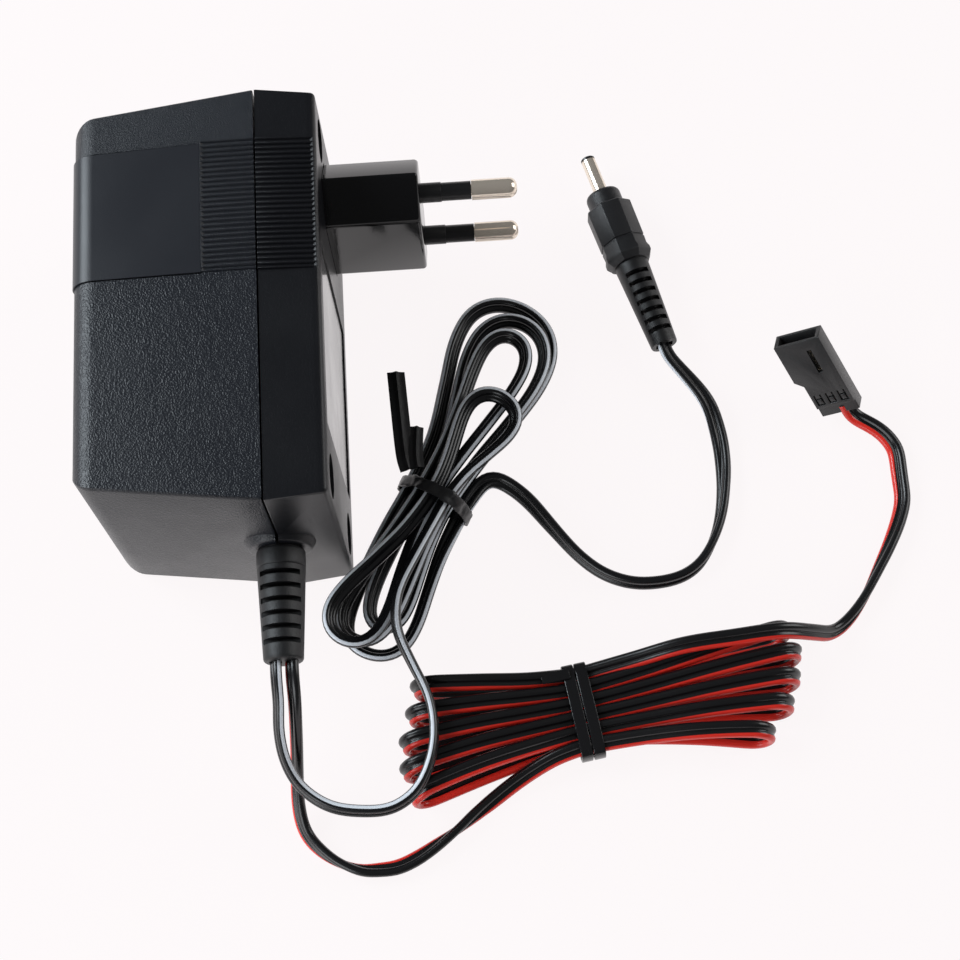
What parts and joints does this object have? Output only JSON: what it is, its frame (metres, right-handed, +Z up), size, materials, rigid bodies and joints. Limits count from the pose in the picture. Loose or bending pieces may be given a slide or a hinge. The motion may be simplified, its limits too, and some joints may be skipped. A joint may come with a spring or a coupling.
{
  "type": "plug-in battery charger",
  "caption": "Plug-in mains charger: drafted black case with a ribbed grip and a round-pin plug block, with hanked output leads to a DC barrel plug and a servo connector.",
  "frame": {"origin": "on the table, under the middle of the box round the case, plug block and pins", "axes": "+Z up from the table along the case width; +X along the plug, towards the pin tips; +Y along the case height, away from the leads"},
  "size_m": [0.1591, 0.1487, 0.0538],
  "materials": {
    "case_black": "spark-textured black plastic",
    "film_black": "smooth black film",
    "label_grey": "plain glossy film, no print",
    "plug_black": "polished black plastic",
    "nickel": "bright nickel plate",
    "steel": "zinc-plated steel",
    "core_iron": "laminated iron",
    "nylon": "moulded nylon",
    "copper": "enamelled copper wire",
    "tape_yellow": "polyester tape",
    "board_brown": "phenolic board",
    "component_black": "moulded plastic",
    "ceramic": "coated ceramic",
    "soft_black": "soft PVC",
    "wire_red": "PVC insulation"
  },
  "bodies": {
    "root": {"rear_shell": "case_black", "front_cover": "case_black", "wrap_label": "film_black", "rating_label": "label_grey", "case_screw_1": "steel", "case_screw_2": "steel", "case_screw_3": "steel", "case_screw_4": "steel", "plug_body": "plug_black", "pin_near": "nickel", "pin_far": "nickel", "pin_sleeve_near": "soft_black", "pin_sleeve_far": "soft_black", "transformer_core": "core_iron", "transformer_bobbin": "nylon", "primary_winding": "copper", "secondary_winding": "copper", "primary_tape": "tape_yellow", "thermal_fuse": "steel", "mains_wire_near": "soft_black", "mains_wire_far": "soft_black", "circuit_board": "board_brown", "diode_1": "component_black", "diode_2": "component_black", "resistor_1": "ceramic", "resistor_2": "ceramic", "secondary_wire_1": "wire_red", "secondary_wire_2": "wire_red", "lead_a_tail": "soft_black", "lead_b_tail": "soft_black", "strain_relief": "soft_black", "lead_a_near": "soft_black", "lead_a_hank": "soft_black", "lead_a_far": "soft_black", "lead_b_near": "soft_black", "lead_b_hank": "soft_black", "lead_b_far": "soft_black", "tie_a": "soft_black", "tie_a_tail": "soft_black", "tie_b": "soft_black", "dc_housing": "soft_black", "dc_boot": "soft_black", "dc_barrel": "nickel", "dc_insulator": "component_black", "dc_contact": "nickel", "servo_housing": "component_black", "servo_contact_1": "nickel", "servo_contact_2": "nickel", "servo_contact_3": "nickel"}
  },
  "joints": []
}
